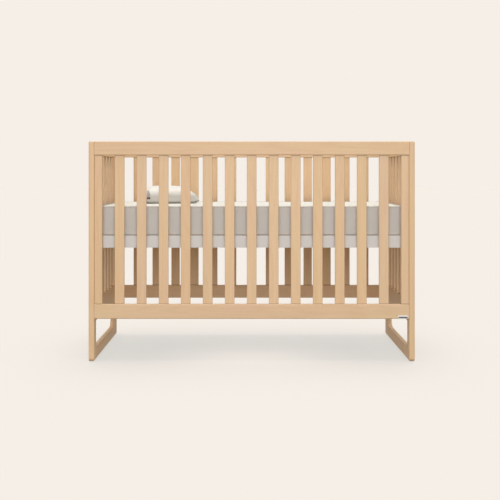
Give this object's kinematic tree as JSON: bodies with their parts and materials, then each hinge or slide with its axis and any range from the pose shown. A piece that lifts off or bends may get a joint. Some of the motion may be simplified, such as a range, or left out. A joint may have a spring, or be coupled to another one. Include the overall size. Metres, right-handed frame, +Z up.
{
  "type": "baby crib",
  "caption": "Full-size slatted wooden baby crib on sled-footed end frames, with a height-adjustable steel mattress support, foam mattress and small pillow.",
  "frame": {"origin": "on the floor, under the middle of the crib's footprint", "axes": "+X along the crib's length to the right seen from the front, +Y from front to back, +Z up"},
  "size_m": [1.378, 0.761, 0.93],
  "materials": {
    "end_beech": "clear satin lacquer on light beech",
    "panel_beech": "clear satin lacquer on light beech",
    "support_wood": "plain sanded beech",
    "support_steel": "light grey powder coat",
    "zinc_steel": "bright zinc plate",
    "brass_insert": "plain",
    "plate_metal": "satin, with a dark blank field",
    "mattress_cover": "white woven cover with a light grey border",
    "pillow_cover": "soft white cotton"
  },
  "bodies": {
    "frame": {"left_front_post": "end_beech", "left_rear_post": "end_beech", "left_top_rail": "end_beech", "left_cross_rail": "end_beech", "left_sled_rail": "end_beech", "left_end_slats": "end_beech", "right_front_post": "end_beech", "right_rear_post": "end_beech", "right_top_rail": "end_beech", "right_cross_rail": "end_beech", "right_sled_rail": "end_beech", "right_end_slats": "end_beech", "front_top_rail": "panel_beech", "front_bottom_rail": "panel_beech", "front_left_stile": "panel_beech", "front_right_stile": "panel_beech", "back_top_rail": "panel_beech", "back_bottom_rail": "panel_beech", "back_left_stile": "panel_beech", "back_right_stile": "panel_beech", "front_slat_01": "panel_beech", "front_slat_02": "panel_beech", "front_slat_03": "panel_beech", "front_slat_04": "panel_beech", "front_slat_05": "panel_beech", "front_slat_06": "panel_beech", "front_slat_07": "panel_beech", "front_slat_08": "panel_beech", "front_slat_09": "panel_beech", "front_slat_10": "panel_beech", "front_slat_11": "panel_beech", "front_slat_12": "panel_beech", "front_slat_13": "panel_beech", "back_slat_01": "panel_beech", "back_slat_02": "panel_beech", "back_slat_03": "panel_beech", "back_slat_04": "panel_beech", "back_slat_05": "panel_beech", "back_slat_06": "panel_beech", "back_slat_07": "panel_beech", "back_slat_08": "panel_beech", "back_slat_09": "panel_beech", "back_slat_10": "panel_beech", "back_slat_11": "panel_beech", "back_slat_12": "panel_beech", "back_slat_13": "panel_beech", "support_inserts": "brass_insert", "panel_bolts": "zinc_steel", "barrel_nuts": "zinc_steel", "dowels": "support_wood", "blank_plate": "plate_metal"},
    "mattress_support": {"support_front_rail": "support_steel", "support_rear_rail": "support_steel", "support_left_rail": "support_steel", "support_right_rail": "support_steel", "support_slats": "support_wood", "support_brackets": "zinc_steel", "support_bolts": "zinc_steel"},
    "mattress": {"mattress": "mattress_cover"},
    "pillow": {"pillow": "pillow_cover"}
  },
  "joints": [
    {"name": "support_height", "type": "slide", "parent": "frame", "child": "mattress_support", "axis": [0, 0, 1], "range_m": [-0.285, 0]},
    {"name": "mattress_lift", "type": "slide", "parent": "mattress_support", "child": "mattress", "axis": [0, 0, 1], "range_m": [0, 0.42]},
    {"name": "pillow_lift", "type": "slide", "parent": "mattress", "child": "pillow", "axis": [0, 0, 1], "range_m": [0, 0.3]}
  ]
}
